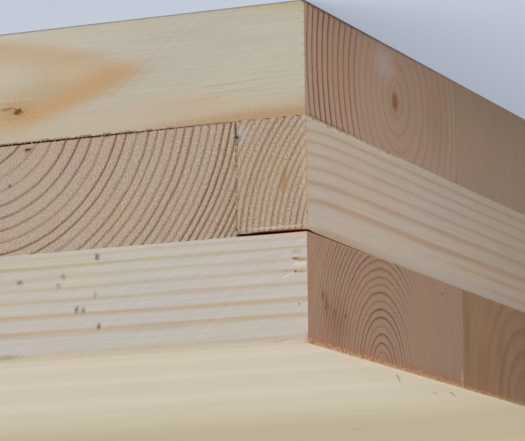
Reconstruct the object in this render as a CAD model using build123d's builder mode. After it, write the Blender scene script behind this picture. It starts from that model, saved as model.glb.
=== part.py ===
from build123d import *
from math import ceil
import os

# A cross-laminated panel: three layers of planed spruce boards, laid crosswise, glued flat on each
# other and trimmed to one rectangle, in millimetres. The boards of the two outer layers run along X
# and those of the middle layer along Y. The origin is at the centre of the underside, with +Z up
# and the sanded face on top.

# The panel, as the trimming saw left it
panel_length = 2400.0
panel_width = 1200.0

# The boards, as the planer left them
board_width = 140.0
board_thickness = 30.5
sanded_board_thickness = 29.0
edge_joint = 0.3

# What the trimming saw left of each layer's first board, at the -X or the -Y edge of the panel
bottom_first_width = 111.6
cross_first_width = 19.5
top_first_width = 114.4

# Snipe, the shallow slope that a planer cuts where a board enters it. On the narrow cross board it
# faces up at the -Y end, and opens a gap under the top layer.
strip_snipe_length = 48.0
strip_snipe_outer_depth = 0.5
strip_snipe_inner_depth = 0.85

# On the next cross board it faces down at the -Y end, and opens a gap over the bottom layer.
second_snipe_length = 60.0
second_snipe_near_depth = 0.1
second_snipe_far_depth = 1.1

# Places that follow from the sizes
x_low, x_high = -panel_length / 2, panel_length / 2
y_low, y_high = -panel_width / 2, panel_width / 2
cross_low = board_thickness
cross_high = cross_low + board_thickness
top_high = cross_high + sanded_board_thickness


def board_spans(low, high, first_width):
    """The (low side, high side) of each board of a layer, from a first board that was trimmed."""
    first_high = low + first_width
    pitch = board_width + edge_joint
    followers = ceil((high - first_high - edge_joint) / pitch)
    lows = [first_high + edge_joint + n * pitch for n in range(followers)]
    return [(low, first_high)] + [(side, min(side + board_width, high)) for side in lows]


def long_board(label, y_span, z_span):
    """A board of an outer layer: its section in the YZ plane, drawn out along X."""
    with BuildPart() as board:
        with BuildSketch(Plane.YZ.offset(x_low)):
            with Locations((sum(y_span) / 2, sum(z_span) / 2)):
                Rectangle(y_span[1] - y_span[0], z_span[1] - z_span[0])
        extrude(amount=panel_length)
    board.part.label = label
    return board


def cross_board(label, x_span, snipe=None, kept=Keep.BOTTOM):
    """A board of the middle layer, drawn out along Y, with its snipe planed off if it has one."""
    with BuildPart() as board:
        # The plane's own x runs along -X, because its z runs along Y, towards the far edge.
        with BuildSketch(Plane(origin=(0, y_low, 0), x_dir=(-1, 0, 0), z_dir=(0, 1, 0))):
            with Locations((-sum(x_span) / 2, (cross_low + cross_high) / 2)):
                Rectangle(x_span[1] - x_span[0], cross_high - cross_low)
        extrude(amount=panel_width)
        if snipe:
            split(bisect_by=snipe, keep=kept)
    board.part.label = label
    return board


def snipe_plane(corner, across, along):
    """The slope's plane, from one point and the two directions in it, with its normal upwards."""
    return Plane(origin=corner, x_dir=across, z_dir=Vector(across).cross(Vector(along)))


bottom_spans = board_spans(y_low, y_high, bottom_first_width)
cross_spans = board_spans(x_low, x_high, cross_first_width)
top_spans = board_spans(y_low, y_high, top_first_width)

# The narrow board's slope starts at its outer side and deepens towards the second board.
strip_low, strip_high = cross_spans[0]
strip_snipe = snipe_plane(
    corner=(strip_low, y_low, cross_high - strip_snipe_outer_depth),
    across=(strip_high - strip_low, 0, strip_snipe_outer_depth - strip_snipe_inner_depth),
    along=(0, strip_snipe_length, strip_snipe_outer_depth),
)

# The second board's slope starts at the narrow board and deepens away from it.
second_low, second_high = cross_spans[1]
second_snipe = snipe_plane(
    corner=(second_low, y_low, cross_low + second_snipe_near_depth),
    across=(second_high - second_low, 0, second_snipe_far_depth - second_snipe_near_depth),
    along=(0, second_snipe_length, -second_snipe_far_depth),
)
cross_snipes = {1: (strip_snipe, Keep.BOTTOM), 2: (second_snipe, Keep.TOP)}

boards = []
for number, span in enumerate(bottom_spans, start=1):
    boards.append(long_board(f"bottom_board_{number:02d}", span, (0, cross_low)))
for number, span in enumerate(cross_spans, start=1):
    boards.append(cross_board(f"cross_board_{number:02d}", span, *cross_snipes.get(number, ())))
for number, span in enumerate(top_spans, start=1):
    boards.append(long_board(f"top_board_{number:02d}", span, (cross_high, top_high)))

os.makedirs("parts", exist_ok=True)
for board in boards:
    export_step(board.part, f"parts/{board.part.label}.step")
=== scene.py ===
import logging
import math
import random
from dataclasses import dataclass, field, fields
from enum import Enum
from functools import partial

import bpy
from bpy.types import ID, Light, Material, Node, NodeSocket, NodeTree, Object
from mathutils import Matrix, Vector


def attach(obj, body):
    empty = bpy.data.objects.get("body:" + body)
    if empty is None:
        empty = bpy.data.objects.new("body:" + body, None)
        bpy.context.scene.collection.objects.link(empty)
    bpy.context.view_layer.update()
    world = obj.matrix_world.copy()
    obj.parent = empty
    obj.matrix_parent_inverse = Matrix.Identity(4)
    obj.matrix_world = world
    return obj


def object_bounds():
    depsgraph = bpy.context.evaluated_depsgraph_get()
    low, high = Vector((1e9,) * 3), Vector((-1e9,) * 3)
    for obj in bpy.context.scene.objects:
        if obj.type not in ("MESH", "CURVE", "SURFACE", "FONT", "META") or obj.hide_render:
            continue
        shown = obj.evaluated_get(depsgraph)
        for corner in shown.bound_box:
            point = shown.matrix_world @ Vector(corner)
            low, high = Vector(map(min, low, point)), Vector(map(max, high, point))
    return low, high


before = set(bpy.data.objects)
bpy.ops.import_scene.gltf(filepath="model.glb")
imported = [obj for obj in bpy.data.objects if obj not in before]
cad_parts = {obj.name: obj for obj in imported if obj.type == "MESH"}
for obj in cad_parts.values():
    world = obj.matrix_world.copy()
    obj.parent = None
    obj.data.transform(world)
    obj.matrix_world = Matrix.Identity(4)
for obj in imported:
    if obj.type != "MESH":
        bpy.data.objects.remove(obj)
cad_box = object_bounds()

log = logging.getLogger("spruce_panel")

MM = 0.001

# Noise gathers round its middle, and nearly all of it lies between these two
NOISE = (0.3, 0.7)


def linear(colour: str) -> tuple[float, float, float, float]:
    """Turns an sRGB hex colour into linear light.

    Args:
        colour: six hex digits, such as "c8bca4".

    Returns:
        Red, green, blue and a full alpha.
    """
    parts = [int(colour[n:n + 2], 16) / 255 for n in (0, 2, 4)]
    return (*(p / 12.92 if p <= 0.04045 else ((p + 0.055) / 1.055) ** 2.4 for p in parts), 1.0)


def cleared(owner: ID) -> NodeTree:
    """Turns on the nodes of a material or a world, and clears them.

    Args:
        owner: the material or world.

    Returns:
        Its empty node tree.
    """
    owner.use_nodes = True
    owner.node_tree.nodes.clear()
    return owner.node_tree


def first(node: Node) -> NodeSocket:
    """A node's first live output."""
    return next(output for output in node.outputs if output.enabled)


def add(tree: NodeTree, kind: str, *wires: object, **settings: object) -> Node:
    """Adds a node to a tree, with its settings and links.

    Args:
        tree: the node tree to add to.
        kind: the node's type, less its "ShaderNode", and after a colon the operation of a Math node.
        wires: what feeds the live inputs in turn: a number, a colour, a socket, a node whose first
            live output is meant, or None to leave an input as it is.
        settings: the node's own properties in lower case, and inputs by name with a capital.

    Returns:
        The new node.
    """
    kind, _, operation = kind.partition(":")
    node = tree.nodes.new("ShaderNode" + kind)
    if operation:
        node.operation = operation
    for name in (n for n in settings if n[0].islower()):
        setattr(node, name, settings[name])
    live = [socket for socket in node.inputs if socket.enabled]
    named = {socket.name: socket for socket in live}
    feeds = list(zip(live, wires))
    feeds += [(named[n.replace("_", " ")], value) for n, value in settings.items() if n[0].isupper()]
    for socket, value in feeds:
        if isinstance(value, Node):
            value = first(value)
        if isinstance(value, NodeSocket):
            tree.links.new(value, socket)
        elif value is not None:
            socket.default_value = value
    return node


class Grain(Enum):
    """Which way a board's fibres run in the panel."""

    LENGTHWISE = "along the panel, as in both outer layers"
    CROSSWISE = "across the panel, as in the middle layer"


@dataclass(frozen=True)
class Spruce:
    """Dry spruce: pale cream early wood that ends each year in a narrow band of tan late wood.

    Sawn across the fibres it is browner and shows the late wood as thin dark lines, because the open
    ends of the cells swallow light. Along the fibres it is pale, and the same bands are soft and tan.
    """

    end_early: str = "beab98"
    end_late: str = "83634b"
    long_early: str = "c8c2b2"
    long_late: str = "b59c7c"
    roughness: float = 0.66
    ior: float = 1.5


@dataclass(frozen=True)
class Timber:
    """How one board's wood grew, in millimetres, and where the board was sawn from its log.

    Across is measured from the panel's photographed corner at right angles to the grain, and height
    from the panel's underside. Slowing is how much narrower the rings get for each millimetre outwards.
    Across the fibres the rings are sharp from sharp_from to fades_from, and elsewhere the saw has
    smeared them. Hook is how far the rings sink over the first few millimetres from the board's end.
    Taper is how fast the log thins along the grain, and past taper_to it thins hardly at all.
    """

    pith_across: float
    pith_height: float
    ring_width: float
    ring_slowing: float = 0.01
    ring_start: float = 0.0
    eccentric: float = 0.0
    late_width: float = 0.42
    drift: float = 0.5
    wobble: float = 0.5
    uneven: float = 0.3
    taper: float = 0.0
    taper_to: float = 9000.0
    lean: float = 0.0
    hook: float = 0.0
    seed: float = 0.0
    knots_from: float = 260.0
    contrast: float = 1.0
    sharp_from: float = -9000.0
    fades_from: float = 9000.0
    speckle: float = 0.9
    wood: Spruce = Spruce()


@dataclass(frozen=True)
class Mark:
    """A blemish with a soft edge: a spot, stain, streak or knot, in millimetres from the corner.

    Strength is how much of its colour shows at its middle. Softness is the share of its radii over which
    it fades, ragged how far noise moves its edge, and turn its lean on the brighter edge, in degrees.
    """

    centre: tuple[float, float, float]
    radii: tuple[float, float, float]
    colour: str
    strength: float
    softness: float = 1.0
    turn: float = 0.0
    ragged: float = 0.3


class GrainGroup:
    """The node group that grows a board's wood from its rings, fibres and knots.

    Its place is (along the grain, across it, up) in millimetres from the photographed corner.
    """

    NUMBERS = tuple(item.name for item in fields(Timber) if item.name != "wood")
    CUTS = ("End Grain", "Sanded", "Saw Marks")
    COLOURS = ("end_early", "end_late", "long_early", "long_late")

    # The log: how far it runs between its bends, how its rings waver, and how years differ
    DRIFT_LENGTH = 190.0
    WOBBLE_SIZES = (90.0, 9.0, 9.0)
    LEAN_DEPTH = 22.0
    HOOK_LENGTH = 9.0
    SPENT_TAPER = 0.12
    THINNEST_RING = 0.6
    UNEVEN_PACE = 0.6
    VIGOUR = (0.45, 1.05)

    # Sawn across: the reach of the dark line, in its late wood's widths and then in millimetres
    LINE_SOFT, LINE_CORE = 2.7, 0.7
    LINE_EDGE, LINE_BREAK = 0.25, 0.12
    FADE_WIDTH, FADED = 16.0, 0.22
    TUFTS, TUFT_GREY = 2.0, 0.72

    # Sawn along: where in a year the soft band rises and falls, and how much sanding calms it
    BAND_RISE, BAND_FALL = (0.46, 0.8), (1.0, 0.85)
    SANDED_CALM = 0.55
    FIBRE_SIZES = (26.0, 0.65, 0.65)
    FIBRE_SHADE = (0.945, 1.05)

    # The drifts of tone, the saw's strokes and the gold of the sanded face
    TONE_SIZES = (60.0, 8.0, 20.0)
    TONE_RANGE, TONE_LEAST = (0.18, 0.17, 0.26), (0.91, 0.915, 0.87)
    STROKE_SHADE, STROKE_RELIEF = (0.975, 1.025), 0.4
    WHITE, GOLD = (1.0, 1.0, 1.0, 1.0), (0.97, 0.925, 0.825, 1.0)

    # Branches: their spacing along the log and round it, how few grow, and how they swell the rings
    KNOT_SPACING, KNOT_ANGLE = 330.0, 1.5
    KNOT_FEWNESS = 0.45
    KNOT_RADIUS, KNOT_GROWTH = 2.5, 0.07
    KNOT_SWELL, KNOT_CLOSENESS = 0.9, 0.9
    KNOT_RINGS, KNOT_RING_SHADE = 4.5, 0.12
    KNOT_LIVE, KNOT_RIM = "a67c52", "6d4a30"
    KNOT_RIM_FADE, KNOT_SIDE = (0.75, 1.0), (1.12, 0.98)

    # How Map Range eases in and out
    EASED = {"interpolation_type": "SMOOTHSTEP"}

    def __init__(self) -> None:
        """Makes the group, its sockets and its nodes."""
        self.tree = bpy.data.node_groups.new("sawn_spruce", "ShaderNodeTree")
        self.add = partial(add, self.tree)
        face = self.tree.interface
        face.new_socket(name="Place", in_out="INPUT", socket_type="NodeSocketVector")
        for name in self.NUMBERS + self.CUTS:
            face.new_socket(name=name, in_out="INPUT", socket_type="NodeSocketFloat")
        for name in self.COLOURS:
            face.new_socket(name=name, in_out="INPUT", socket_type="NodeSocketColor")
        face.new_socket(name="Color", in_out="OUTPUT", socket_type="NodeSocketColor")
        face.new_socket(name="Relief", in_out="OUTPUT", socket_type="NodeSocketFloat")
        self.given = self.tree.nodes.new("NodeGroupInput").outputs
        self.split = self.add("SeparateXYZ", self.given["Place"]).outputs
        self._grow()

    def _over(self, sizes: tuple[float, float, float]) -> Node:
        """The place, measured in the given sizes.

        Args:
            sizes: a pattern's size along the grain, across it and up, in millimetres.

        Returns:
            The node.
        """
        return self.add("VectorMath:MULTIPLY", self.given["Place"], [1 / size for size in sizes])

    def _grow(self) -> None:
        """Wires the log, the two cuts through it and its branches into one wood."""
        across, height = self._section()
        flat = self.add("CombineXYZ", 0.0, across, height)
        distance = self.add("VectorMath:LENGTH", flat).outputs["Value"]
        reach, size = self._knots(distance, self.add("Math:ARCTAN2", height, across))
        width, rings = self._rings(distance, across, reach, size)
        phase, vigour = self._years(rings)
        cells, speck = self._tufts()
        end = self.add("VectorMath:MULTIPLY", self._end_grain(width, phase, vigour, cells), speck)
        fibre = self.add("TexNoise", Vector=self._over(self.FIBRE_SIZES), Scale=1.0, Detail=2.0)
        long = self._long_grain(phase, vigour, fibre)
        wood = self._toned(self.add("Mix", self.given["End Grain"], long, end, data_type="RGBA"))
        wood = self._branched(wood, reach, size)

        relief = self.add("Mix", self.given["End Grain"], fibre, speck, data_type="FLOAT")
        relief = self.add("Math:MULTIPLY_ADD", self.given["Saw Marks"], self.STROKE_RELIEF, relief)
        result = self.tree.nodes.new("NodeGroupOutput")
        self.tree.links.new(first(wood), result.inputs["Color"])
        self.tree.links.new(first(relief), result.inputs["Relief"])

    def _section(self) -> tuple[Node, Node]:
        """Where a point lies in its log's section, with the pith's wander, lean and hook.

        Returns:
            The distances from the pith across and up.
        """
        way = self.add("Math:MULTIPLY", self.split["X"], 1 / self.DRIFT_LENGTH)
        path = self.add("CombineXYZ", way, self.given["seed"], 0.0)
        wander = self.add("TexNoise", Vector=path, Scale=1.0, Detail=3.0, Roughness=0.45)
        wander = self.add("VectorMath:SUBTRACT", wander.outputs["Color"], (0.5, 0.5, 0.5))
        wander = self.add("VectorMath:SCALE", wander, Scale=self.given["drift"])
        wander = self.add("SeparateXYZ", wander).outputs
        depth = self.add("Math:MULTIPLY", self.split["Y"], -1 / self.LEAN_DEPTH)
        lean = self.add("Math:MULTIPLY", self.add("Math:EXPONENT", depth), self.given["lean"])
        across = self.add("Math:SUBTRACT", self.split["Y"], self.given["pith_across"])
        height = self.add("Math:SUBTRACT", self.split["Z"], self.given["pith_height"])
        height = self.add("Math:SUBTRACT", height, lean)
        inside = self.add("Math:MULTIPLY", self.split["X"], -1 / self.HOOK_LENGTH)
        straight = self.add("Math:SUBTRACT", 1.0, self.add("Math:EXPONENT", inside))
        height = self.add("Math:MULTIPLY_ADD", straight, self.given["hook"], height)
        return self.add("Math:ADD", across, wander["X"]), self.add("Math:ADD", height, wander["Y"])

    def _knots(self, distance: NodeSocket, angle: Node) -> tuple[Node, Node]:
        """Branches that grow out of the pith, at random along the log and round it.

        Args:
            distance: from the pith.
            angle: round the pith.

        Returns:
            The distance from the nearest branch's middle in its own radii, and the branch's radius.
        """
        along = self.add("Math:DIVIDE", self.split["X"], self.KNOT_SPACING)
        round_log = self.add("Math:ADD", self.add("Math:DIVIDE", angle, self.KNOT_ANGLE), self.given["seed"])
        cell = self.add("CombineXYZ", along, round_log, 0.0)
        branch = self.add("TexVoronoi", Vector=cell, Scale=1.0, Randomness=0.9, voronoi_dimensions="2D")
        branch = branch.outputs
        away = self.add("SeparateXYZ", self.add("VectorMath:SUBTRACT", cell, branch["Position"])).outputs
        along = self.add("Math:MULTIPLY", away["X"], self.KNOT_SPACING)
        around = self.add("Math:MULTIPLY", self.add("Math:MULTIPLY", away["Y"], self.KNOT_ANGLE), distance)
        reach = self.add("VectorMath:LENGTH", self.add("CombineXYZ", along, around, 0.0)).outputs["Value"]
        luck = self.add("SeparateXYZ", branch["Color"]).outputs["X"]
        luck = self.add("MapRange", luck, self.KNOT_FEWNESS, 1.0, 0.0, 1.0)
        beyond = self.add("Math:GREATER_THAN", self.split["X"], self.given["knots_from"])
        size = self.add("Math:MULTIPLY_ADD", distance, self.KNOT_GROWTH, self.KNOT_RADIUS)
        size = self.add("Math:MULTIPLY", self.add("Math:MULTIPLY", size, luck), beyond)
        # Never nought, because other lengths are divided by it
        size = self.add("Math:MAXIMUM", size, 0.001)
        return self.add("Math:DIVIDE", reach, size), size

    def _rings(self, distance: NodeSocket, across: Node, reach: Node, size: Node) -> tuple[Node, Node]:
        """Counts the rings out to a point, when each is a little narrower than the one inside.

        Args:
            distance: from the pith.
            across: the part of it across the board.
            reach: the distance from the nearest branch, in its radii.
            size: that branch's radius.

        Returns:
            The ring's width there, and the number of rings.
        """
        given = self.given
        place = self.add("VectorMath:ADD", self._over(self.WOBBLE_SIZES), given["seed"])
        wobble = self.add("TexNoise", Vector=place, Scale=1.0, Detail=3.0, Roughness=0.55)
        wobble = self.add("Math:MULTIPLY", self.add("Math:SUBTRACT", wobble, 0.5), given["wobble"])
        radius = self.add("Math:ADD", distance, wobble)
        radius = self.add("Math:SUBTRACT", radius, self.add("Math:MULTIPLY", across, given["eccentric"]))
        tapering = self.add("Math:MINIMUM", self.split["X"], given["taper_to"])
        spent = self.add("Math:SUBTRACT", self.split["X"], tapering)
        tapering = self.add("Math:MULTIPLY_ADD", spent, self.SPENT_TAPER, tapering)
        radius = self.add("Math:SUBTRACT", radius, self.add("Math:MULTIPLY", tapering, given["taper"]))
        swell = self.add("Math:EXPONENT", self.add("Math:MULTIPLY", reach, -self.KNOT_CLOSENESS))
        swell = self.add("Math:MULTIPLY", self.add("Math:MULTIPLY", swell, size), self.KNOT_SWELL)
        radius = self.add("Math:SUBTRACT", radius, swell)

        slowed = self.add("Math:MULTIPLY", radius, given["ring_slowing"])
        width = self.add("Math:SUBTRACT", given["ring_width"], slowed)
        width = self.add("Math:MAXIMUM", width, self.THINNEST_RING)
        share = self.add("Math:LOGARITHM", self.add("Math:DIVIDE", width, given["ring_width"]), math.e)
        share = self.add("Math:DIVIDE", share, given["ring_slowing"])
        rings = self.add("Math:SUBTRACT", given["ring_start"], share)
        uneven = self.add("Math:ADD", rings, given["seed"])
        uneven = self.add("TexNoise", W=uneven, Scale=self.UNEVEN_PACE, Detail=0.0, noise_dimensions="1D")
        uneven = self.add("Math:MULTIPLY", self.add("Math:SUBTRACT", uneven, 0.5), given["uneven"])
        return width, self.add("Math:ADD", rings, uneven)

    def _years(self, rings: Node) -> tuple[Node, Node]:
        """Splits the count of rings into years.

        Args:
            rings: the number of rings out to a point.

        Returns:
            How far the year has gone, from 0 to 1, and how strong its late wood is.
        """
        year = self.add("Math:ADD", self.add("Math:FLOOR", rings), self.given["seed"])
        vigour = self.add("TexWhiteNoise", W=year, noise_dimensions="1D").outputs["Value"]
        vigour = self.add("MapRange", vigour, 0.0, 1.0, *self.VIGOUR)
        return self.add("Math:FRACT", rings), self.add("Math:MULTIPLY", vigour, self.given["contrast"])

    def _tufts(self) -> tuple[NodeSocket, Node]:
        """The open ends of the cells, drawn ten times as wide as they are, as torn tufts show them.

        Returns:
            The tufts' noise, and the shade they give.
        """
        place = self.given["Place"]
        noise = self.add("TexNoise", Vector=place, Scale=self.TUFTS, Detail=1.0, Roughness=0.65).outputs
        speck = self.add("Mix", self.TUFT_GREY, noise["Color"], noise["Fac"], data_type="RGBA")
        speck = self.add("VectorMath:SUBTRACT", speck, (0.5, 0.5, 0.5))
        speck = self.add("VectorMath:SCALE", speck, Scale=self.given["speckle"])
        return noise["Fac"], self.add("VectorMath:ADD", speck, (1.0, 1.0, 1.0))

    def _end_grain(self, width: Node, phase: Node, vigour: Node, cells: NodeSocket) -> Node:
        """Across the fibres: a thin dark line with a soft inner side, broken up by the cells.

        Args:
            width: the ring's width.
            phase: how far its year has gone.
            vigour: how strong its late wood is.
            cells: the cells' noise.

        Returns:
            The colour.
        """
        given = self.given
        rest = self.add("Math:MULTIPLY", self.add("Math:SUBTRACT", 1.0, phase), width)
        broken = self.add("MapRange", cells, *NOISE, -self.LINE_BREAK, self.LINE_BREAK)
        rest = self.add("Math:ADD", rest, broken)
        soft = self.add("Math:MULTIPLY", given["late_width"], self.LINE_SOFT)
        core = self.add("Math:MULTIPLY", given["late_width"], self.LINE_CORE)
        line = self.add("MapRange", rest, soft, core, 0.0, 1.0, **self.EASED)
        edge = self.add("MapRange", rest, 0.0, self.LINE_EDGE, 0.0, 1.0)
        past = self.add("Math:SUBTRACT", self.split["Y"], given["fades_from"])
        sharp = self.add("MapRange", past, 0.0, self.FADE_WIDTH, 1.0, self.FADED)
        past = self.add("Math:SUBTRACT", self.split["Y"], given["sharp_from"])
        rise = self.add("MapRange", past, -self.FADE_WIDTH, 0.0, 2 * self.FADED, 1.0)
        sharp = self.add("Math:MULTIPLY", self.add("Math:MULTIPLY", sharp, rise), vigour)
        line = self.add("Math:MULTIPLY", self.add("Math:MULTIPLY", line, edge), sharp)
        return self.add("Mix", line, given["end_early"], given["end_late"], data_type="RGBA")

    def _long_grain(self, phase: Node, vigour: Node, fibre: Node) -> Node:
        """Along the fibres: a broad soft band, and the fibres' own fine streaks.

        Args:
            phase: how far the year has gone.
            vigour: how strong its late wood is.
            fibre: the fibres' noise.

        Returns:
            The colour.
        """
        band = self.add("MapRange", phase, *self.BAND_RISE, 0.0, 1.0, **self.EASED)
        edge = self.add("MapRange", phase, *self.BAND_FALL, 0.0, 1.0, **self.EASED)
        calm = self.add("Math:MULTIPLY_ADD", self.given["Sanded"], -self.SANDED_CALM, 1.0)
        strength = self.add("Math:MULTIPLY", vigour, calm)
        band = self.add("Math:MULTIPLY", self.add("Math:MULTIPLY", band, edge), strength)
        colour = self.add("Mix", band, self.given["long_early"], self.given["long_late"], data_type="RGBA")
        shade = self.add("MapRange", fibre, *NOISE, *self.FIBRE_SHADE)
        return self.add("VectorMath:SCALE", colour, Scale=shade)

    def _toned(self, wood: Node) -> Node:
        """Tones the wood: pinker here and greener there, scored by the saw, golden where sanded.

        Args:
            wood: the wood's colour.

        Returns:
            The toned colour.
        """
        tone = self.add("TexNoise", Vector=self._over(self.TONE_SIZES), Scale=1.0, Detail=2.0)
        tone = self.add("VectorMath:MULTIPLY_ADD", tone.outputs["Color"], self.TONE_RANGE, self.TONE_LEAST)
        wood = self.add("VectorMath:MULTIPLY", wood, tone)
        scored = self.add("MapRange", self.given["Saw Marks"], *NOISE, *self.STROKE_SHADE)
        wood = self.add("VectorMath:SCALE", wood, Scale=scored)
        gold = self.add("Mix", self.given["Sanded"], self.WHITE, self.GOLD, data_type="RGBA")
        return self.add("VectorMath:MULTIPLY", wood, gold)

    def _branched(self, wood: Node, reach: Node, size: Node) -> Node:
        """Adds the branches, browner than the wood, with rings of their own inside a dark rim.

        Args:
            wood: the wood's colour.
            reach: the distance from the nearest branch, in its radii.
            size: that branch's radius.

        Returns:
            The colour with the branches.
        """
        rim = self.add("MapRange", reach, *self.KNOT_RIM_FADE, 0.0, 1.0, **self.EASED)
        rings = self.add("Math:MULTIPLY", reach, self.add("Math:MULTIPLY", size, self.KNOT_RINGS))
        rim = self.add("Math:MULTIPLY_ADD", self.add("Math:SINE", rings), self.KNOT_RING_SHADE, rim)
        branch = self.add("Mix", rim, linear(self.KNOT_LIVE), linear(self.KNOT_RIM), data_type="RGBA")
        inside = self.add("MapRange", reach, *self.KNOT_SIDE, 0.0, 1.0, **self.EASED)
        return self.add("Mix", inside, wood, branch, data_type="RGBA")


@dataclass
class BoardFinish:
    """Spruce as the saw and the planer left it on one board.

    The saw's strokes lean across each sawn edge, a little over a millimetre apart. They make it dull and
    faintly lined, while the sanded wide face is smooth.
    """

    group: GrainGroup
    corner: Vector
    stroke_lean: tuple[float, float, float] = (0.62, 0.62, -0.785)
    stroke_pitch: float = 1.3
    relief_strength: float = 0.35
    relief_depth: float = 0.06
    ragged_pace: float = 1.1
    square: float = 0.7

    def dress(self, board: Object, timber: Timber, grain: Grain, marks: list[Mark]) -> None:
        """Gives a board its wood.

        Args:
            board: the CAD node's object.
            timber: how its wood grew.
            grain: which way its fibres run.
            marks: its blemishes.
        """
        material = bpy.data.materials.new("sawn_spruce_" + board.name)
        tree = cleared(material)
        here = add(tree, "TexCoord").outputs["Object"]
        here = add(tree, "VectorMath:SUBTRACT", here, self.corner)
        here = add(tree, "VectorMath:SCALE", here, Scale=1 / MM).outputs["Vector"]
        wood = self._wood(tree, here, timber, grain)
        colour = wood
        for mark in marks:
            colour = self._blemish(tree, here, colour, mark)
        relief = add(
            tree, "Bump", Height=wood.outputs["Relief"], Strength=self.relief_strength,
            Distance=self.relief_depth * MM,
        )
        shader = add(
            tree, "BsdfPrincipled", Base_Color=colour, Normal=relief,
            Roughness=timber.wood.roughness, IOR=timber.wood.ior,
        )
        add(tree, "OutputMaterial", shader)
        board.data.materials.clear()
        board.data.materials.append(material)

    def _wood(self, tree: NodeTree, here: NodeSocket, timber: Timber, grain: Grain) -> Node:
        """Adds the grain group, set to the board's timber, its direction and its cuts.

        Args:
            tree: the material's nodes.
            here: the place in millimetres from the corner.
            timber: how the board's wood grew.
            grain: which way its fibres run.

        Returns:
            The group's node.
        """
        normal = add(tree, "SeparateXYZ", add(tree, "NewGeometry").outputs["True Normal"]).outputs
        place, facing = here, normal["X"]
        if grain is Grain.CROSSWISE:
            split = add(tree, "SeparateXYZ", here).outputs
            place = add(tree, "CombineXYZ", split["Y"], split["X"], split["Z"])
            facing = normal["Y"]
        level = self._faces(tree, normal["Z"])
        strokes = add(tree, "VectorMath:DOT_PRODUCT", here, self.stroke_lean).outputs["Value"]
        pace = 1 / self.stroke_pitch
        strokes = add(tree, "TexNoise", W=strokes, Scale=pace, Detail=3.0, noise_dimensions="1D")
        strokes = add(tree, "Mix", level, strokes, 0.5, data_type="FLOAT")

        wood = add(
            tree, "Group", node_tree=self.group.tree, Place=place, Sanded=level, Saw_Marks=strokes,
            End_Grain=self._faces(tree, facing),
        )
        for name in GrainGroup.NUMBERS:
            wood.inputs[name].default_value = getattr(timber, name)
        for name in GrainGroup.COLOURS:
            wood.inputs[name].default_value = linear(getattr(timber.wood, name))
        return wood

    def _faces(self, tree: NodeTree, part: NodeSocket) -> Node:
        """One on the faces that are square to an axis, and nought elsewhere.

        Args:
            tree: the material's nodes.
            part: the normal's part along that axis.

        Returns:
            The node.
        """
        return add(tree, "Math:GREATER_THAN", add(tree, "Math:ABSOLUTE", part), self.square)

    def _blemish(self, tree: NodeTree, here: NodeSocket, colour: Node, mark: Mark) -> Node:
        """Paints one mark over the wood.

        Args:
            tree: the material's nodes.
            here: the place in millimetres from the corner.
            colour: the wood under the mark.
            mark: what to paint.

        Returns:
            The colour with the mark.
        """
        local = add(
            tree, "Mapping", here, mark.centre, (0.0, math.radians(mark.turn), 0.0), mark.radii,
            vector_type="TEXTURE",
        )
        reach = add(tree, "VectorMath:LENGTH", local).outputs["Value"]
        ragged = add(tree, "TexNoise", Vector=here, Scale=self.ragged_pace, Detail=2.0)
        ragged = add(tree, "MapRange", ragged, *NOISE, -mark.ragged, mark.ragged)
        reach = add(tree, "Math:ADD", reach, ragged)
        mask = add(
            tree, "MapRange", reach, 1.0, 1.0 - mark.softness, 0.0, mark.strength,
            interpolation_type="SMOOTHSTEP",
        )
        return add(tree, "Mix", mask, colour, linear(mark.colour), data_type="RGBA")


@dataclass(frozen=True)
class TornFibre:
    """Spruce fibres that the saw tore: paler than the face, dull, and thin enough to glow a little."""

    pale: str
    dark: str
    roughness: float = 0.8
    ior: float = 1.5
    patch_pace: float = 0.9
    patch_edge: tuple[float, float] = (0.35, 0.65)
    glow: float = 0.35
    glow_depth: float = 0.6
    glow_shares: tuple[float, float, float] = (1.0, 0.55, 0.3)

    def material(self, name: str) -> Material:
        """Makes the material.

        Args:
            name: the name of the piece that wears it.

        Returns:
            A new material.
        """
        material = bpy.data.materials.new("torn_spruce_" + name)
        tree = cleared(material)
        here = add(tree, "TexCoord").outputs["Object"]
        here = add(tree, "VectorMath:SCALE", here, Scale=1 / MM)
        patchy = add(tree, "TexNoise", Vector=here, Scale=self.patch_pace, Detail=3.0)
        patchy = add(tree, "MapRange", patchy, *self.patch_edge, 0.0, 1.0)
        colour = add(tree, "Mix", patchy, linear(self.pale), linear(self.dark), data_type="RGBA")
        shader = add(
            tree, "BsdfPrincipled", Base_Color=colour, Roughness=self.roughness, IOR=self.ior,
            Subsurface_Weight=self.glow, Subsurface_Scale=self.glow_depth * MM,
            Subsurface_Radius=self.glow_shares,
        )
        add(tree, "OutputMaterial", shader)
        return material


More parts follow.
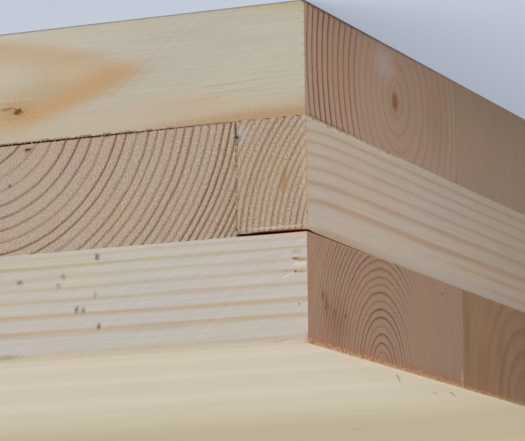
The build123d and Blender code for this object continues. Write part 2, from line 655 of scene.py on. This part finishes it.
@dataclass
class Fringe:
    """Torn fibres along a line on the panel's edge, one mesh, in millimetres from the corner.

    Each has three sides and three joints, and TIP is how much of its thickness is gone at its tip.
    """

    name: str
    start: tuple[float, float, float]
    stop: tuple[float, float, float]
    count: int
    reach: tuple[float, float, float]
    thickness: float
    finish: TornFibre
    seed: int
    bend: float = 0.35
    shortest: float = 0.35
    scatter: tuple[float, float, float] = (0.0, 0.0, 0.0)

    STEPS = 3
    SECTION = (0.0, 2.1, 4.2)
    TIP = 0.8
    THICKNESSES = (0.6, 1.3)

    def build(self, corner: Vector) -> None:
        """Adds the fringe to the scene.

        Args:
            corner: the panel's photographed corner, in metres.
        """
        draws = random.Random(self.seed)
        vertices: list[Vector] = []
        faces: list[tuple[int, ...]] = []
        start, stop = Vector(self.start), Vector(self.stop)
        for number in range(self.count):
            root = start.lerp(stop, (number + draws.uniform(0.0, 1.0)) / self.count)
            root += Vector([draws.uniform(-s, s) for s in self.scatter])
            way = Vector(self.reach) * draws.uniform(self.shortest, 1.0)
            self._fibre(vertices, faces, root, way, draws)
        mesh = bpy.data.meshes.new(self.name)
        mesh.from_pydata([corner + v * MM for v in vertices], [], faces)
        mesh.materials.append(self.finish.material(self.name))
        piece = bpy.data.objects.new(self.name, mesh)
        bpy.context.scene.collection.objects.link(piece)
        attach(piece, "root")
        log.info("%s: %d fibres", self.name, self.count)

    def _fibre(
        self, vertices: list[Vector], faces: list[tuple[int, ...]], root: Vector, way: Vector,
        draws: random.Random,
    ) -> None:
        """Adds one bent, tapering fibre.

        Args:
            vertices: the mesh's vertices so far, in millimetres.
            faces: the mesh's faces so far.
            root: where the fibre leaves the wood.
            way: from its root to its tip.
            draws: the random draws.
        """
        along = (Vector(self.stop) - Vector(self.start)).normalized()
        side = (along - along.project(way)).normalized()
        # A fibre that runs along its own line has no side of that kind, and any will do
        if side.length < 0.5:
            side = way.orthogonal().normalized()
        lift = way.cross(side).normalized()
        sway = side * draws.gauss(0.0, self.bend) * way.length
        base = len(vertices)
        half = self.thickness / 2 * draws.uniform(*self.THICKNESSES)
        for step in range(self.STEPS + 1):
            share = step / self.STEPS
            middle = root + way * share + sway * share ** 2
            thin = half * (1 - self.TIP * share)
            for turn in self.SECTION:
                vertices.append(middle + side * math.cos(turn) * thin + lift * math.sin(turn) * thin)
        sides = len(self.SECTION)
        for step in range(self.STEPS):
            for n in range(sides):
                a, b = base + step * sides + n, base + step * sides + (n + 1) % sides
                faces.append((a, b, b + sides, a + sides))
        last = base + self.STEPS * sides
        faces.append((base + 2, base + 1, base))
        faces.append((last, last + 1, last + 2))


@dataclass
class PhotoCamera:
    """A long lens over the panel's photographed corner, turned so that the floor is at the top."""

    place: tuple[float, float, float] = (-1.50939, -1.32908, 0.19412)
    right: tuple[float, float, float] = (-0.914034, 0.405486, 0.011127)
    down: tuple[float, float, float] = (0.078659, 0.150267, 0.985511)
    lens: float = 214.77
    sensor: float = 36.0
    clip: tuple[float, float] = (0.01, 200.0)

    def build(self) -> None:
        """Adds the camera and makes it the scene's."""
        camera = bpy.data.cameras.new("camera")
        camera.lens, camera.sensor_width = self.lens, self.sensor
        camera.clip_start, camera.clip_end = self.clip
        holder = bpy.data.objects.new("camera", camera)
        right, up = Vector(self.right).normalized(), -Vector(self.down).normalized()
        back = right.cross(up)
        holder.matrix_world = Matrix.Translation(self.place) @ Matrix((right, up, back)).transposed().to_4x4()
        bpy.context.scene.collection.objects.link(holder)
        bpy.context.scene.camera = holder
        log.info("camera at %s", self.place)


@dataclass
class Studio:
    """A pale floor under soft, even light, with a small warm lamp by the panel's darker edge."""

    corner: Vector
    backdrop: str = "c3cbd8"
    floor_colour: str = "c5d1e5"
    floor_lit: str = "b4b6bb"
    floor_half: float = 60.0
    floor_glow: float = 0.58
    sun_from: tuple[float, float, float] = (0.34, -0.52, 0.80)
    sun_strength: float = 2.7
    sun_spread: float = 45.0
    sky_strength: float = 0.45
    lamp_offset: tuple[float, float, float] = (-0.19, 0.0, 0.06)
    lamp_size: float = 0.11
    lamp_power: float = 0.105
    lamp_colour: str = "fff0de"

    def build(self) -> None:
        """Adds the floor, the sky and the lamps."""
        self._sky()
        self._floor()
        sun = bpy.data.lights.new("sun", "SUN")
        sun.energy, sun.angle = self.sun_strength, math.radians(self.sun_spread)
        self._hang("sun", sun, Vector((0.0, 0.0, 1.0)), Vector(self.sun_from))
        lamp = bpy.data.lights.new("edge_lamp", "AREA")
        lamp.size, lamp.energy = self.lamp_size, self.lamp_power
        lamp.color = linear(self.lamp_colour)[:3]
        place = self.corner + Vector(self.lamp_offset)
        holder = self._hang("edge_lamp", lamp, place, Vector((-1.0, 0.0, 0.0)))
        holder.visible_camera = False
        # The lamp shines on the boards alone, and leaves no bright patch on the floor beside them
        boards = bpy.data.collections.new("lit_by_edge_lamp")
        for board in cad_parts.values():
            boards.objects.link(board)
        holder.light_linking.receiver_collection = boards

    def _hang(self, name: str, light: Light, place: Vector, away: Vector) -> Object:
        """Hangs a light.

        Args:
            name: the light's name.
            light: the light.
            place: where it hangs.
            away: the direction it is turned from.

        Returns:
            The light's object.
        """
        holder = bpy.data.objects.new(name, light)
        holder.location = place
        holder.rotation_euler = away.to_track_quat("Z", "Y").to_euler()
        bpy.context.scene.collection.objects.link(holder)
        return holder

    def _seen(self, tree: NodeTree) -> Node:
        """One where the camera, a gloss or a clear surface sees the backdrop, and nought elsewhere.

        Args:
            tree: the tree that needs it.

        Returns:
            The node.
        """
        path = add(tree, "LightPath").outputs
        seen = add(tree, "Math:MAXIMUM", path["Is Camera Ray"], path["Is Glossy Ray"])
        return add(tree, "Math:MAXIMUM", seen, path["Is Transmission Ray"])

    def _sky(self) -> None:
        """Lights the scene from all round, and shows the floor's colour behind the panel."""
        world = bpy.data.worlds.new("studio")
        bpy.context.scene.world = world
        tree = cleared(world)
        light = add(tree, "Background", Color=(1.0, 1.0, 1.0, 1.0), Strength=self.sky_strength)
        shown = add(tree, "Background", Color=linear(self.backdrop), Strength=1.0)
        add(tree, "OutputWorld", add(tree, "MixShader", self._seen(tree), light, shown))

    def _floor(self) -> None:
        """Adds the floor, pale to the camera and with the panel's shadow on it."""
        half = self.floor_half
        mesh = bpy.data.meshes.new("floor")
        corners = [(-half, -half, 0.0), (half, -half, 0.0), (half, half, 0.0), (-half, half, 0.0)]
        mesh.from_pydata(corners, [], [(0, 1, 2, 3)])
        floor = bpy.data.objects.new("floor", mesh)
        bpy.context.scene.collection.objects.link(floor)
        material = bpy.data.materials.new("matt_floor")
        tree = cleared(material)
        lit = add(tree, "BsdfDiffuse", Color=linear(self.floor_lit))
        shown = add(tree, "Emission", Color=linear(self.floor_colour), Strength=1.0)
        weight = add(tree, "Math:MULTIPLY", self._seen(tree), self.floor_glow)
        add(tree, "OutputMaterial", add(tree, "MixShader", weight, lit, shown))
        mesh.materials.append(material)


# The wood of each layer: early and late wood sawn across, then early and late wood sawn along
CROSS_WOOD = Spruce("b6a08b", "7c5535", "cbbcaa", "be9f80")
BOTTOM_WOOD = Spruce("b6957e", "73452a", "beb7a4", "bc9868")
TOP_WOOD = Spruce("ae8b6f", "784c34", "c6beb1", "beab8e")
OUTER_WOOD = Spruce("b09378", "8f6f55", "c2b7a3", "b29a78")
SHADY_WOOD = Spruce("a47c53", "7a5030", "c3bba9", "b9a988")
DIM_WOOD = Spruce("a88662", "7a5030", "b8ad91", "b0a07e")

PHOTOGRAPHED = {
    "bottom_board_01": Timber(
        63.6, 14.2, 4.9, 0.0185, -0.26, eccentric=0.1, late_width=0.7, drift=0.15, wobble=0.7, uneven=0.1,
        taper=0.0278, taper_to=210.0, seed=3.1, fades_from=28.0, wood=BOTTOM_WOOD,
    ),
    "bottom_board_02": Timber(190.0, 5.0, 3.0, seed=5.3, late_width=0.8, contrast=0.14, wood=OUTER_WOOD),
    "cross_board_01": Timber(
        -39.5, 65.25, 1.74, 0.0002, -0.05, drift=0.6, wobble=0.3, uneven=0.2, hook=1.6, seed=7.7,
        knots_from=220.0, speckle=1.6, wood=CROSS_WOOD,
    ),
    "cross_board_02": Timber(
        98.86, 19.0, 4.56, 0.0395, 0.6, eccentric=-0.1, drift=0.1, wobble=0.6, uneven=0.25, seed=9.2,
        knots_from=220.0, speckle=1.5, wood=CROSS_WOOD,
    ),
    "top_board_01": Timber(
        51.4, 90.5, 2.5, 0.0132, -0.26, drift=0.3, wobble=1.1, uneven=0.15, lean=12.0, seed=11.4,
        sharp_from=22.0, fades_from=62.0, speckle=1.1, wood=TOP_WOOD,
    ),
    "top_board_02": Timber(
        170.0, 92.0, 6.6, 0.012, -0.05, late_width=1.5, seed=13.5, wobble=2.5, contrast=0.42,
        sharp_from=150.0, wood=SHADY_WOOD,
    ),
    "top_board_03": Timber(
        338.0, 21.0, 3.1, 0.006, seed=17.5, drift=1.6, wobble=1.0, taper=0.005, wood=DIM_WOOD,
    ),
}

# The heights of the two joints between the layers, and of the wide face
LOWER_JOINT, UPPER_JOINT, FACE = 30.5, 61.0, 90.0

# Where the saw pulled specks out of the glue line, seen on the brighter edge
PULLED = [
    Mark((x, 0.0, LOWER_JOINT + 0.05), (0.8, 1.0, 0.25), "3a2a20", 0.9, 0.5)
    for x in (33.7, 30.0, 18.7, 15.0, 10.8, 6.0, 2.3)
]

# Painted shade in the gap that the planer's slope leaves: dark brown inside it, and ragged dark dashes on its
# two lips
GAP_LIPS = [Mark((71.0, 0.0, LOWER_JOINT + 0.2), (44.0, 8.0, 0.5), "7a4420", 0.9, 0.5, ragged=0.5)]
GAP_LIPS += [
    Mark((x, 0.0, LOWER_JOINT - 0.1), (half, 1.0, 0.55), "5c3010", 0.85, 0.6, ragged=0.4)
    for x, half in (
        (25.0, 1.5), (39.0, 2.0), (45.0, 1.5), (51.5, 2.6), (57.5, 2.4), (63.5, 3.0), (76.0, 2.0),
    )
]

# Small nicks of the saw's teeth down the panel's corner
NICKS = [Mark((0.0, 0.0, 3.0 + 2.9 * n), (1.5, 0.9, 0.4), "9a7a64", 0.35, 0.9) for n in range(10)]

# A drop of blue stain at the head of the joint between the two cross boards, and brown dashes below it
JOINT_STAINS = [
    Mark((17.9, 0.0, 33.8), (2.8, 1.0, 3.4), "b4b8bc", 0.4),
    Mark((19.9, 0.0, 32.6), (0.6, 1.0, 2.8), "474b54", 0.75, 0.9),
    Mark((19.4, 0.0, 34.8), (1.1, 1.0, 1.1), "15171c", 0.95, 0.9),
]
JOINT_STAINS += [
    Mark((19.65, 0.0, height), (0.5, 1.0, 1.1), "5e3e1c", 0.9, 0.7)
    for height in (38.0, 40.2, 42.6, 46.8, 48.8, 52.2, 54.4, 56.8, 58.9)
]

# Crumbs that the saw left along the glue line on the darker edge, and the shade over them
CRUMBS = [
    Mark((0.0, 14.0, LOWER_JOINT - 0.4), (1.0, 28.0, 0.55), "7c4c36", 0.5, 0.8, ragged=0.9),
    Mark((0.0, 28.0, LOWER_JOINT + 0.6), (1.0, 38.0, 0.6), "dccbb0", 0.8, 0.6, ragged=0.6),
]

# The broad soft bands of the wide face
SOFT_BANDS = [
    Mark((70.0, across, FACE), (190.0, half, 2.0), colour, 0.2, ragged=0.05)
    for across, half, colour in (
        (14.0, 8.0, "d8d0bf"), (29.0, 8.0, "bdb096"), (47.0, 10.0, "d8d0bf"), (67.0, 15.0, "bdb096"),
        (93.0, 11.0, "d8d0bf"), (114.0, 15.0, "bdb096"),
    )
]

# The frayed arris between the darker edge and the wide face, with a painted warm glow on the darker edge
# below it, and pale at its very edge
FRAYED_ARRIS_AND_GLOW = [
    Mark((0.0, 80.0, FACE + 0.2), (1.5, 300.0, 4.8), "b3703c", 0.66, ragged=0.3),
    Mark((0.0, 130.0, FACE), (26.0, 160.0, 0.3), "a88c62", 0.24, ragged=0.1),
    Mark((0.0, 80.0, FACE), (2.4, 300.0, 0.3), "dcc9a6", 0.5, ragged=0.6),
    Mark((0.0, 80.0, FACE + 0.2), (0.5, 300.0, 1.4), "e4c294", 0.75, 0.7, ragged=0.75),
    Mark((0.0, 112.9, 87.6), (0.5, 1.1, 3.6), "d9b688", 0.9, 0.9, ragged=0.2),
]

MARKS = {
    "bottom_board_01": PULLED + GAP_LIPS + NICKS + CRUMBS + [
        # Slow bands of tone, and the V where a year's late wood runs out on the brighter edge
        Mark((88.0, 0.0, 4.0), (60.0, 1.0, 20.0), "d2cdba", 0.2, ragged=0.0),
        Mark((66.0, 0.0, 13.0), (13.0, 1.0, 6.0), "d0ba98", 0.4, ragged=0.1),
        Mark((30.0, 0.0, 27.0), (28.0, 1.0, 7.0), "c49f74", 0.3, ragged=0.1),
        Mark((60.0, 0.0, 27.0), (95.0, 1.0, 9.0), "c8a98c", 0.33, 0.8, ragged=0.1),
        Mark((56.0, 0.0, 14.2), (20.0, 1.0, 4.0), "bf8f52", 0.4, 1.0, -8.0, ragged=0.1),
        Mark((0.0, 22.0, 14.0), (1.0, 24.0, 13.0), "b08856", 0.3),
        Mark((0.0, 96.0, 14.0), (1.0, 16.0, 18.0), "9a7650", 0.35),
        Mark((8.0, 0.0, 31.2), (56.0, 3.0, 4.6), "b08c66", 0.7, 0.7, ragged=0.1),
        Mark((102.0, 0.0, 12.0), (36.0, 1.0, 6.5), "c4b9a2", 0.9, 0.6, ragged=0.1),
        Mark((74.0, 0.0, 22.4), (31.0, 1.0, 4.6), "c8965e", 0.6, 1.0, -17.0, ragged=0.1),
        # Painted shade along the arris with the underside, where the panel meets the floor: grey on the
        # brighter edge, dark on the darker edge
        Mark((200.0, 0.0, -0.1), (600.0, 1.0, 0.7), "77768a", 0.75, 0.6, ragged=0.1),
        Mark((0.0, 0.0, -0.2), (1.0, 160.0, 1.4), "4e424c", 0.85, 0.7, ragged=0.15),
        # The small knot, and three fine veins
        Mark((84.0, 0.0, 21.9), (8.0, 3.0, 4.5), "b98550", 0.6),
        Mark((84.0, 0.0, 21.9), (2.1, 2.0, 1.3), "4c3020", 0.9, 0.8),
        Mark((87.5, 0.0, 20.9), (3.5, 1.0, 0.7), "8a6038", 0.7, 0.8),
        Mark((19.0, 0.0, 20.1), (20.0, 1.0, 0.3), "b3946c", 0.45, 0.8, -2.0),
        Mark((16.0, 0.0, 21.9), (17.0, 1.0, 0.3), "b3946c", 0.4, 0.8, -3.5),
        Mark((28.0, 0.0, 23.6), (12.0, 1.0, 0.3), "b3946c", 0.35, 0.8, -3.5),
        # The darker edge's pale haze, and the streak of resin in the pith
        Mark((0.0, 56.5, 5.5), (1.0, 12.0, 7.0), "c6bfbe", 0.48, ragged=0.1),
        Mark((0.0, 75.0, 15.0), (1.0, 14.0, 12.0), "a08a62", 0.3),
        Mark((0.0, 63.8, 15.2), (1.0, 5.5, 7.0), "a98450", 0.6),
        Mark((0.0, 63.8, 15.2), (1.0, 3.3, 3.7), "8a5722", 0.95, 0.7, ragged=0.15),
    ],
    "cross_board_01": PULLED + JOINT_STAINS + CRUMBS + [
        # A short dash of resin, the warm end of the board above the gap, and painted dark shade on its lip
        # and inside the gap
        Mark((6.3, 0.0, 46.9), (1.2, 1.0, 4.4), "9a723e", 0.62, 0.6, 8.0, ragged=0.15),
        Mark((9.0, 0.0, 59.3), (13.0, 1.0, 0.45), "e6d8c0", 0.45, 0.9, ragged=0.3),
        Mark((9.0, 0.0, 60.9), (13.0, 9.0, 0.95), "6a2c06", 1.0, 0.2, ragged=0.08),
        Mark((10.0, 0.0, 46.0), (15.0, 1.0, 22.0), "b8945c", 0.16, ragged=0.1),
        # Its long side, on the darker edge: warmer far off, a pale band and a tan one, and the worn arris
        Mark((0.0, 190.0, 46.0), (2.0, 110.0, 40.0), "b8905e", 0.3, ragged=0.0),
        Mark((0.0, 115.0, 59.6), (2.0, 125.0, 2.0), "c6bdb2", 0.75, 0.8, ragged=0.1),
        Mark((0.0, 158.0, 54.6), (2.0, 92.0, 1.1), "bf9256", 0.55, ragged=0.1),
        Mark((0.0, 0.0, 46.0), (2.4, 1.2, 22.0), "d4ae88", 0.5, ragged=0.1),
    ],
    "cross_board_02": PULLED + GAP_LIPS + JOINT_STAINS + [
        # A pale patch over the pith, and two dark specks
        Mark((84.0, 0.0, 45.0), (26.0, 1.0, 16.0), "b8a596", 0.28, ragged=0.1),
        Mark((86.3, 0.0, 42.0), (0.9, 1.0, 0.9), "4a4452", 0.85, 0.8),
        Mark((80.9, 0.0, 32.7), (2.4, 1.0, 1.3), "8f5c3c", 0.6, 0.9),
        Mark((80.9, 0.0, 32.5), (1.5, 1.0, 0.6), "35201a", 0.9, 0.7),
    ],
    "top_board_01": SOFT_BANDS + [
        # The worn arris with the wide face, the gap's warm lip, and painted dark orange shade inside the gap
        Mark((60.0, 0.0, 89.6), (140.0, 1.0, 1.9), "d2c3a4", 0.7, ragged=0.15),
        Mark((87.0, 0.0, 88.4), (7.0, 1.0, 1.2), "9a8060", 0.6),
        Mark((3.0, 0.0, UPPER_JOINT), (8.0, 1.0, 0.9), "dfa878", 0.6, 0.9, ragged=0.15),
        Mark((9.0, 0.0, UPPER_JOINT - 0.05), (14.0, 12.0, 0.2), "a84410", 0.95, 0.3, ragged=0.0),
        Mark((0.0, 26.0, UPPER_JOINT + 0.2), (1.0, 40.0, 0.7), "b3885a", 0.6, 0.9, ragged=0.2),
        # Specks of blue stain
        Mark((60.2, 0.0, 63.2), (1.1, 1.0, 1.2), "4c3a36", 0.85, 0.9),
        Mark((70.3, 0.0, 67.8), (1.3, 1.0, 1.5), "75767c", 0.65),
        Mark((71.7, 0.0, 70.2), (1.2, 1.0, 1.2), "787a80", 0.65),
        Mark((83.3, 0.0, 68.5), (1.6, 1.0, 1.1), "6a5040", 0.7),
        Mark((66.2, 0.0, 76.9), (1.0, 1.0, 1.3), "4c4244", 0.8),
        Mark((64.3, 0.0, 77.1), (0.9, 1.0, 1.3), "5a4a44", 0.75),
        Mark((59.8, 0.0, 81.8), (1.0, 1.0, 1.4), "5e463a", 0.75, 1.0, 15.0),
        Mark((60.9, 0.0, 73.2), (0.7, 1.0, 1.4), "7d7674", 0.5),
        Mark((2.4, 0.0, 79.7), (0.4, 1.0, 0.4), "3c3c42", 0.85, 0.8),
        # Round the lifted splinter and the notch below it: a grey smudge; the notch's tan wood with painted
        # shadow at its end and a painted highlight on its lip; painted shadow beside the splinter; and a dark
        # dot and a brown streak at its root
        Mark((3.1, 0.0, 66.0), (2.6, 1.0, 0.9), "9a968c", 0.5, 0.9),
        Mark((2.0, 0.0, 69.3), (3.0, 1.0, 1.0), "e2d6ba", 0.6, 0.8, ragged=0.15),
        Mark((2.1, 0.0, 68.1), (2.6, 1.0, 0.7), "b08c5a", 0.85, 0.6, 8.0, ragged=0.15),
        Mark((3.4, 0.0, 67.8), (1.3, 1.0, 0.45), "75532f", 0.85, 0.8, 8.0, ragged=0.15),
        Mark((6.0, 0.0, 70.9), (2.4, 1.0, 0.4), "b4966c", 0.7, 0.9, ragged=0.15),
        Mark((1.8, 0.0, 71.3), (2.2, 1.0, 0.4), "a5865c", 0.75, 0.8, ragged=0.15),
        Mark((3.3, 0.0, 71.2), (0.6, 1.0, 0.45), "604024", 0.85, 0.8, ragged=0.15),
        # Dark specks and a red patch on the darker edge
        Mark((0.0, 10.0, 76.3), (1.0, 1.2, 2.2), "5f2f22", 0.75, 0.9),
        Mark((0.0, 18.1, 79.7), (1.0, 1.6, 1.0), "5f3526", 0.6, 0.9),
        Mark((0.0, 25.6, 79.8), (1.0, 0.9, 0.8), "35201a", 0.8, 0.8),
        Mark((0.0, 97.8, 64.6), (1.0, 1.2, 0.7), "4d342a", 0.7, 0.9),
        Mark((0.0, 19.0, 82.0), (1.0, 13.0, 9.0), "94502c", 0.5),
        Mark((0.0, 12.5, 78.5), (1.0, 2.0, 4.5), "7c3a1e", 0.7),
    ] + FRAYED_ARRIS_AND_GLOW,
    "top_board_02": FRAYED_ARRIS_AND_GLOW + [
        # The board's darker tone on the wide face, and a dim spot
        Mark((60.0, 250.0, FACE), (9000.0, 128.0, 3.0), "a08f64", 0.53, 0.55, ragged=0.0),
        Mark((68.6, 202.0, FACE), (2.4, 4.2, 2.0), "7d6c50", 0.45),
        # Streaks down the darker edge
        Mark((0.0, 118.0, 74.0), (1.0, 4.5, 20.0), "665340", 0.35),
        Mark((0.0, 130.0, 82.0), (1.0, 10.0, 14.0), "96602f", 0.35),
        Mark((0.0, 147.0, 78.0), (1.0, 6.0, 18.0), "70603f", 0.3),
        Mark((0.0, 182.0, 78.0), (1.0, 30.0, 34.0), "75562f", 0.3, 0.8, ragged=0.0),
    ],
}

# Where fibres stand on the joints and arrises, with each fibre's reach and its two colours
TORN = [
    Fringe("torn_top_arris", (0.1, 1.0, 89.9), (0.1, 175.0, 89.9), 190, (-0.05, 0.1, -1.7), thickness=0.48,
           scatter=(0.0, 0.4, 0.1), finish=TornFibre("f0c89e", "d48650"), seed=2),
    Fringe("torn_joint_side", (0.12, 0.0, 30.6), (0.12, 62.0, 30.6), 70, (-0.05, 2.6, 0.15), bend=0.2,
           thickness=0.6, scatter=(0.0, 0.5, 0.35), finish=TornFibre("dccbb0", "a87c56"), seed=3),
    Fringe("torn_cross_arris", (0.08, 0.08, 31.0), (0.08, 0.08, 60.5), 70, (-0.05, 0.9, 0.2), bend=0.3,
           thickness=0.45, scatter=(0.0, 0.2, 0.2), finish=TornFibre("dcb694", "b8794c"), seed=4),
    Fringe("torn_gap", (20.5, 0.1, 30.3), (89.0, 0.1, 30.3), 42, (0.3, 0.02, 1.3), bend=0.4,
           thickness=0.5, scatter=(0.6, 0.02, 0.1), finish=TornFibre("c9ab82", "7c5634"), seed=5),
    Fringe("torn_upper_joint", (20.5, 0.08, 61.1), (89.0, 0.08, 61.1), 60, (-0.5, -0.03, -0.9), bend=0.4,
           thickness=0.45, scatter=(0.6, 0.0, 0.3), finish=TornFibre("d8d0bc", "c8bca0"), seed=6),
    Fringe("torn_board_joint", (19.4, 0.05, 35.0), (19.4, 0.05, 60.0), 90, (0.6, 0.0, 0.6), bend=0.3,
           shortest=0.6, thickness=0.42, scatter=(0.15, 0.02, 0.2), finish=TornFibre("ccb08e", "a87a50"),
           seed=8),
    Fringe("torn_corner_arris", (0.5, 0.1, 88.7), (12.0, 0.1, 89.5), 6, (6.0, 0.0, 0.3), bend=0.02,
           thickness=0.5, finish=TornFibre("d8ceb6", "cabb9a"), seed=9),
    Fringe("lifted_splinter", (3.7, 0.0, 71.0), (3.7, 0.0, 71.7), 4, (4.0, 0.0, 1.3), bend=0.02, shortest=0.9,
           thickness=0.5, finish=TornFibre("eadcc0", "dcc8a2"), seed=10),
    Fringe("joint_spike", (0.0, 112.0, 89.9), (0.0, 113.4, 89.9), 5, (0.0, 0.1, -4.4), bend=0.03,
           shortest=0.5, thickness=0.45, finish=TornFibre("f4e2bc", "e8c89a"), seed=11),
    Fringe("sliver_one", (4.8, 73.8, 89.9), (4.8, 73.9, 89.9), 1, (8.1, 25.1, 0.0), bend=0.03,
           shortest=1.0, thickness=0.75, finish=TornFibre("b8a274", "a08858"), seed=12),
    Fringe("sliver_two", (10.3, 117.2, 89.8), (10.3, 117.3, 89.8), 1, (3.1, 14.5, 0.0), bend=0.03,
           shortest=1.0, thickness=1.1, finish=TornFibre("a89468", "927a50"), seed=13),
    Fringe("sliver_three", (6.1, 119.7, 89.85), (6.1, 119.8, 89.85), 1, (4.6, 21.1, 0.0), bend=0.03,
           shortest=1.0, thickness=0.85, finish=TornFibre("a4946c", "948458"), seed=14),
]


@dataclass
class Panel:
    """The glued panel: three crossed layers of sawn spruce boards."""

    finish: BoardFinish
    draws: random.Random = field(default_factory=lambda: random.Random(7))

    def dress(self) -> None:
        """Gives every board its wood."""
        for name, board in sorted(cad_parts.items()):
            grain = Grain.CROSSWISE if name.startswith("cross") else Grain.LENGTHWISE
            timber = PHOTOGRAPHED.get(name) or self._unseen(board, grain)
            self.finish.dress(board, timber, grain, MARKS.get(name, []))
            log.info("%s dressed", name)

    def _unseen(self, board: Object, grain: Grain) -> Timber:
        """Makes up the timber of a board that the photographed corner doesn't show.

        Args:
            board: the board's node.
            grain: which way its fibres run.

        Returns:
            Its timber, sawn from anywhere in a log.
        """
        side = 0 if grain is Grain.CROSSWISE else 1
        places = [(vertex.co - self.finish.corner) / MM for vertex in board.data.vertices]
        middle = (min(p[side] for p in places) + max(p[side] for p in places)) / 2
        height = (min(p.z for p in places) + max(p.z for p in places)) / 2
        woods = (TOP_WOOD, OUTER_WOOD, BOTTOM_WOOD)
        if grain is Grain.CROSSWISE:
            woods = (CROSS_WOOD, BOTTOM_WOOD)
        wood = self.draws.choice(woods)
        return Timber(
            pith_across=middle + self.draws.uniform(-35, 35),
            pith_height=height + self.draws.choice((-1, 1)) * self.draws.uniform(5, 60),
            ring_width=self.draws.uniform(2.2, 3.8),
            ring_slowing=self.draws.uniform(0.003, 0.012),
            drift=self.draws.uniform(1.0, 3.5),
            wobble=self.draws.uniform(0.7, 1.3),
            taper=self.draws.uniform(-0.008, 0.008),
            seed=self.draws.uniform(20, 400),
            knots_from=-100.0,
            wood=wood,
        )


def main() -> None:
    """Dresses the panel, adds its torn fibres, lights it and sets up the camera."""
    logging.basicConfig(level=logging.INFO, format="%(name)s: %(message)s")
    corner = Vector(cad_box[0])
    Panel(BoardFinish(GrainGroup(), corner)).dress()
    for fringe in TORN:
        fringe.build(corner)
    Studio(corner).build()
    PhotoCamera().build()
    bpy.context.scene.view_settings.view_transform = "Standard"


if __name__ == "__main__":
    main()
